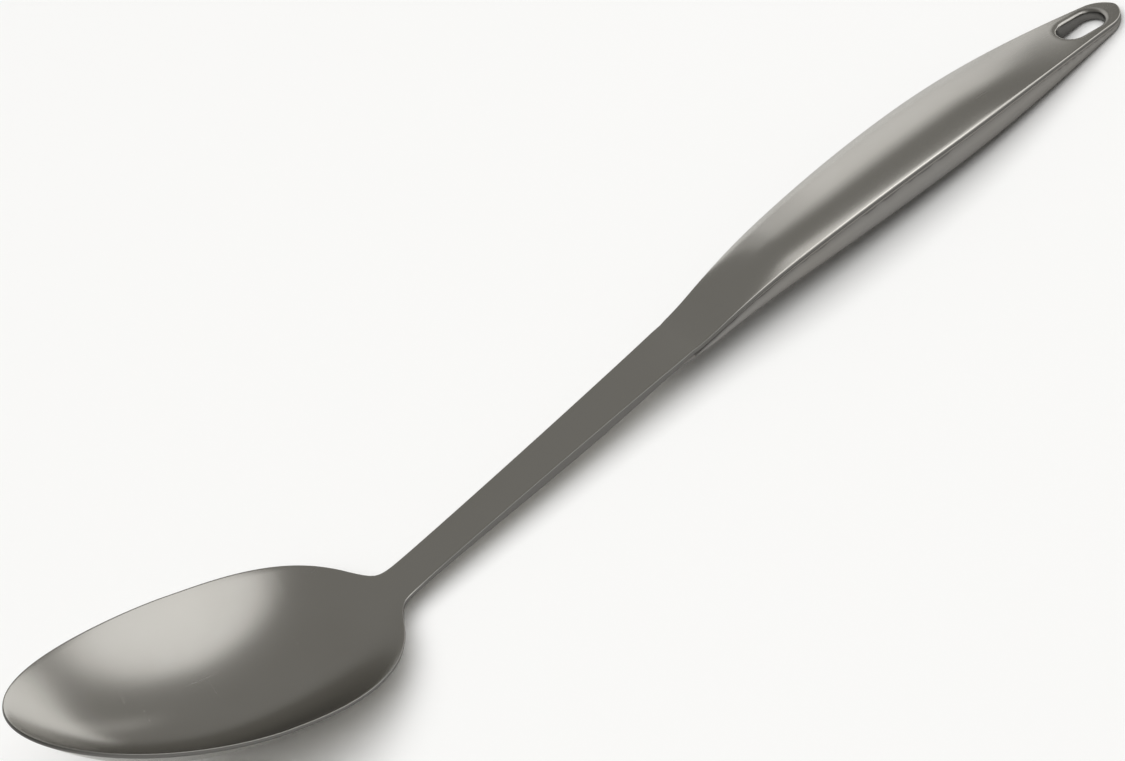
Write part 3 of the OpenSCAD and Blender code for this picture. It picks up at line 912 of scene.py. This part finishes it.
class SPOON_OT_back(bpy.types.Operator):
    """Press the channel that closes the handle from below"""

    bl_idname = "spoon.back"
    bl_label = "Handle back"

    ROWS = 60
    # Painted shade that dims the highlight on the channel's top edge
    EDGE_WEAR = -0.3

    def execute(self, context):
        form = SpoonForm(context.scene.spoon_sizes)
        z = form.z
        gauge = z.back_gauge
        stations = spread(form.handle_s, form.slot_front - SLOT_LEAD, self.ROWS)
        lap = 2 / z.back_squareness
        turns = [math.cos(a) for a in spread(0.0, math.pi, COLUMNS)]
        shares = [-math.copysign(abs(c) ** lap, c) for c in turns]
        plan = BlankPlan(
            form, stations, shares, 0, SLOT_ROWS, SLOT_RINGS,
            slot_radius=form.collar_r + z.eye_weld_width, inset=0.0
        )

        def inside(s, y):
            """Point of the inner face opposite a point of the outer one."""
            rim = form.wall_top(s) - z.edge_radius
            deep = max(form.wall_top(s), form.back_depth(s) - gauge)
            h = -rim - (deep - rim) * form.u_rise(form.across(s, y))
            end = smooth(1 - (form.tail_s - s) / z.tail_round)
            return Vector((s - gauge * end, y * (1 - gauge / max(form.half(s), 2 * gauge)))), h

        def press(point, out, kind, row, last):
            s, y = point
            outside = form.back_h(s, form.across(s, y))
            if kind == "rim":
                seat = form.under_h(s, 1) - z.seam_gap
                off, h, worn = [
                    (-EDGE_EASE, outside, self.EDGE_WEAR),
                    (-z.edge_radius, seat, CUT_DULL_AND_SHADE),
                    (-gauge, seat, CUT_DULL_AND_SHADE),
                ][row]
                return point + out * off, h, worn
            if kind == "slot":
                return point, outside + gauge * row / last, 0.0
            inner, h = inside(s, y)
            f = row / last if kind == "nose" else min(1, row)
            return point.lerp(inner, f), outside + (h - outside) * f, 0.0

        bm = cut_blank(plan, 1, 1)
        press_blank(bm, plan, press, 1, 1)
        finish_piece(bm, "back_channel", "handle_back", "satin_back")
        return {"FINISHED"}


class SPOON_OT_seam_welds(bpy.types.Operator):
    """Lay the ground welds along both sides of the handle"""

    bl_idname = "spoon.seam_welds"
    bl_label = "Seam welds"

    SIDE_ROWS, END_ROWS = 110, 14
    END_GAP = 0.15 * MM  # to the middle line at the tail
    FLUSH_RUN = 46 * MM  # until the weld is flush
    FLUSH_SINK = 0.03 * MM
    FACE_GAP = 0.01 * MM
    FACE_HOLLOW = 0.02 * MM
    ROOT_HALF = 0.005 * MM

    def execute(self, context):
        form = SpoonForm(context.scene.spoon_sizes)
        z = form.z
        edge = z.edge_radius
        sides = spread(form.handle_s, form.tail_corner, self.SIDE_ROWS)
        arc = spread(form.half(form.tail_corner), self.END_GAP, self.END_ROWS)[1:]
        for hand, side in ((1, "left"), (-1, "right")):
            stops = [(Vector((s, hand * form.half(s))), form.side_normal(s, hand)) for s in sides]
            stops += [form.tail_edge(hand * y) for y in arc]

            def place(i, j):
                point, out = stops[i]
                s = point.x
                proud = smooth((s - form.handle_s) / self.FLUSH_RUN)
                sink = self.FLUSH_SINK + z.seam_sink * (1 - proud)
                u = 1 - math.sqrt(sink / edge)
                under = form.under_h(s, 1)
                top = under + edge * u * u - self.FACE_GAP
                low = -form.wall_top(s) + sink + self.FACE_GAP
                root = under - z.seam_gap / 2
                ring = [
                    (edge, root + self.ROOT_HALF),
                    (sink, top),
                    (sink + self.FACE_HOLLOW, top + (low - top) / 3),
                    (sink + self.FACE_HOLLOW, top + (low - top) * 2 / 3),
                    (sink, low),
                    (edge, root - self.ROOT_HALF),
                ]
                off, h = ring[j]
                s, y = point - out * off
                return form.at(s, y, h), Vector((s, h, 0)), 0.0

            bm = tube(len(stops) - 1, 6, place, True)
            finish_piece(bm, "seam_bead_" + side, "seam_weld_" + side, "ground_weld")
        return {"FINISHED"}


class SPOON_OT_nose_weld(bpy.types.Operator):
    """Fair the nose of the channel into the underside of the shank"""

    bl_idname = "spoon.nose_weld"
    bl_label = "Nose weld"

    ROWS, ARC = 16, 20  # along it and across each face

    def execute(self, context):
        form = SpoonForm(context.scene.spoon_sizes)
        z = form.z
        feather = 2 * z.seam_gap
        rows, arc = self.ROWS, self.ARC
        lap = 2 / z.back_squareness

        def place(i, j):
            f = i / rows
            s = form.handle_s - z.seam_gap - z.nose_weld_length * (1 - f)
            half = form.half(s)
            base = z.seam_gap - form.under_h(s, 1)
            top = base + feather + (form.wall_top(s) - base - feather) * f
            bottom = top + feather + (form.nose_depth - form.wall_top(form.handle_s)) * f
            if j < arc:
                a = math.pi * (j + 0.5) / arc
                c = math.cos(a)
                y = (half - z.edge_radius * (1 - f)) * math.copysign(abs(c) ** lap, c)
                h = -top - (bottom - top) * math.sin(a) ** lap
            else:
                a = 2 * (j - arc + 0.5) / arc - 1
                y, h = (half - z.edge_radius) * a, -base
            return form.at(s, y, h), Vector((s, y, 0)), 0.0

        bm = tube(rows, 2 * arc, place, True)
        finish_piece(bm, "nose_bead", "nose_weld", "ground_weld")
        return {"FINISHED"}


class SPOON_OT_eye_weld(bpy.types.Operator):
    """Lay the weld ring between the collar and the channel"""

    bl_idname = "spoon.eye_weld"
    bl_label = "Eye weld"

    SIDE_STEPS = 20
    FACE, HOLLOW, ROOT = 0.02, 0.06, 0.9  # shares of the channel's thickness

    def execute(self, context):
        form = SpoonForm(context.scene.spoon_sizes)
        z = form.z
        onward, back = spread(0, 1, self.SIDE_STEPS)[:-1], spread(1, 0, self.SIDE_STEPS)[:-1]
        lap = (("front", onward), ("right", onward), ("tail", back), ("left", back))
        sides = [(side, f) for side, steps in lap for f in steps]
        inner = form.collar_r + z.seam_gap
        outer = form.collar_r + z.eye_weld_width - z.seam_gap
        profile = [
            (inner, self.FACE),
            (inner * 0.7 + outer * 0.3, self.HOLLOW),
            (inner * 0.3 + outer * 0.7, self.HOLLOW),
            (outer, self.FACE),
            (outer, self.ROOT),
            (inner, self.ROOT),
        ]

        def place(i, j):
            side, f = sides[i % len(sides)]
            radius, rise = profile[j]
            s, y = form.slot_edge(side, f, radius)[0]
            h = form.back_h(s, form.across(s, y)) + rise * z.back_gauge
            return form.at(s, y, h), Vector((s, y, 0)), 0.0

        bm = tube(len(sides), len(profile), place, False)
        finish_piece(bm, "eye_bead", "eye_weld", "ground_weld")
        return {"FINISHED"}


class SPOON_OT_stage(bpy.types.Operator):
    """Set up the floor, the lamps and the camera"""

    bl_idname = "spoon.stage"
    bl_label = "Stage"

    FLOOR_SIZE = 5.0

    # Boxes: place, aim and size
    FILL_BOX = ((0, 0, 2.6), (0, 0, 0), (4.5, 4.5))
    KEY_BOX = ((0.17, -1.1, 0.6), (0, 0, 0.02), (1.2, 0.7))
    SIDE_BOX = ((2.02, -2.92, 2.01), (1.27, -2.93, 1.35), (4.4, 5.1))

    # Low cards that overlap, so that their reflection has a soft border
    FAR_CARDS = 3
    FAR_PLACE, FAR_SHIFT = (0.166, 0.103, 0.083), (-0.009, 0.005, -0.01)
    FAR_AIM = (0.012, -0.104, -0.051)  # from its place
    FAR_SIZE, FAR_GROWTH = (0.138, 0.16), (0.026, -0.022)
    FAR_SPREAD = math.radians(158)

    def execute(self, context):
        stage = context.scene.spoon_stage
        self.lay_floor(stage)
        self.light_room(context.scene, stage)
        fill = self.hang_lamp("fill_box", *self.FILL_BOX, stage.fill_level)
        fill.visible_glossy = False
        shown = [
            self.hang_lamp("key_box", *self.KEY_BOX, stage.key_level),
            self.hang_lamp("side_box", *self.SIDE_BOX, stage.side_level),
        ]
        for step in range(self.FAR_CARDS):
            place = [a + b * step for a, b in zip(self.FAR_PLACE, self.FAR_SHIFT)]
            aim = [a + b for a, b in zip(place, self.FAR_AIM)]
            size = [a + b * step for a, b in zip(self.FAR_SIZE, self.FAR_GROWTH)]
            brightness = stage.far_level / self.FAR_CARDS
            card = self.hang_lamp(f"far_card_{step}", place, aim, size, brightness)
            card.data.spread = self.FAR_SPREAD
            shown.append(card)
        for holder in shown:
            holder.visible_diffuse = False
        self.stand_camera(context.scene, stage)
        context.scene.view_settings.view_transform = "Standard"
        return {"FINISHED"}

    def lay_floor(self, stage):
        """Pale floor, level with the lowest points of the spoon."""
        board = Board("pale_floor")
        speck = board.noise(board.object_place(), 14.0, 2.0) * 0.12
        tint = board.mix(speck, rgba(stage.floor_colour), rgba(stage.floor_colour, 0.97))
        board.shade(Base_Color=tint, Roughness=0.9, Specular_IOR_Level=0.1)
        bm = bmesh.new()
        bmesh.ops.create_grid(bm, x_segments=8, y_segments=8, size=self.FLOOR_SIZE / 2)
        put(bm, "floor", board.material)

    def light_room(self, scene, stage):
        world = bpy.data.worlds.new("room")
        world.use_nodes = True
        background = world.node_tree.nodes["Background"]
        background.inputs["Color"].default_value = rgba(stage.room)
        background.inputs["Strength"].default_value = 1.0
        scene.world = world

    def hang_lamp(self, name, place, aim, size, brightness):
        """Soft box, aimed at a point; its brightness is what a mirror would show of it."""
        lamp = bpy.data.lights.new(name, "AREA")
        lamp.shape = "RECTANGLE"
        lamp.size, lamp.size_y = size
        lamp.energy = brightness * math.pi * size[0] * size[1]
        holder = bpy.data.objects.new(name, lamp)
        holder.location = place
        holder.rotation_euler = (Vector(aim) - Vector(place)).to_track_quat("-Z", "Y").to_euler()
        holder.visible_camera = False
        bpy.context.scene.collection.objects.link(holder)
        return holder

    def stand_camera(self, scene, stage):
        camera = bpy.data.cameras.new("camera")
        camera.lens = stage.camera_lens
        camera.sensor_width = 36.0
        camera.sensor_fit = "HORIZONTAL"
        camera.clip_start, camera.clip_end = 0.05, 20.0
        turn, pitch = stage.camera_turn, stage.camera_pitch
        flat = math.cos(pitch)
        view = Vector((flat * math.cos(turn), flat * math.sin(turn), math.sin(pitch)))
        right = view.cross(Vector((0, 0, 1))).normalized()
        up = right.cross(view)
        roll = Matrix.Rotation(stage.camera_roll, 3, "Z")
        frame_of_view = Matrix((right, up, -view)).transposed() @ roll
        holder = bpy.data.objects.new("camera", camera)
        holder.matrix_world = Matrix.Translation(Vector(stage.camera_place)) @ frame_of_view.to_4x4()
        scene.collection.objects.link(holder)
        scene.camera = holder


OPERATORS = (
    SPOON_OT_stage,
    SPOON_OT_blade,
    SPOON_OT_back,
    SPOON_OT_seam_welds,
    SPOON_OT_nose_weld,
    SPOON_OT_eye_weld,
)


class SPOON_PT_panel(bpy.types.Panel):
    """Settings and steps of the serving spoon"""

    bl_idname = "SPOON_PT_panel"
    bl_label = "Serving spoon"
    bl_space_type = "VIEW_3D"
    bl_region_type = "UI"
    bl_category = "Spoon"

    def draw(self, context):
        scene = context.scene
        for group in (scene.spoon_sizes, scene.spoon_finish, scene.spoon_stage):
            box = self.layout.box()
            for name in group.__annotations__:
                box.prop(group, name)
        for operator in OPERATORS:
            self.layout.operator(operator.bl_idname)


CLASSES = (SpoonSizes, SpoonFinish, SpoonStage, *OPERATORS, SPOON_PT_panel)


def register():
    for cls in CLASSES:
        bpy.utils.register_class(cls)
    bpy.types.Scene.spoon_sizes = bpy.props.PointerProperty(type=SpoonSizes)
    bpy.types.Scene.spoon_finish = bpy.props.PointerProperty(type=SpoonFinish)
    bpy.types.Scene.spoon_stage = bpy.props.PointerProperty(type=SpoonStage)


def unregister():
    del bpy.types.Scene.spoon_stage
    del bpy.types.Scene.spoon_finish
    del bpy.types.Scene.spoon_sizes
    for cls in reversed(CLASSES):
        bpy.utils.unregister_class(cls)


def main():
    register()
    bpy.ops.spoon.stage()
    bpy.ops.spoon.blade()
    bpy.ops.spoon.back()
    bpy.ops.spoon.seam_welds()
    bpy.ops.spoon.nose_weld()
    bpy.ops.spoon.eye_weld()


if __name__ == "__main__":
    main()
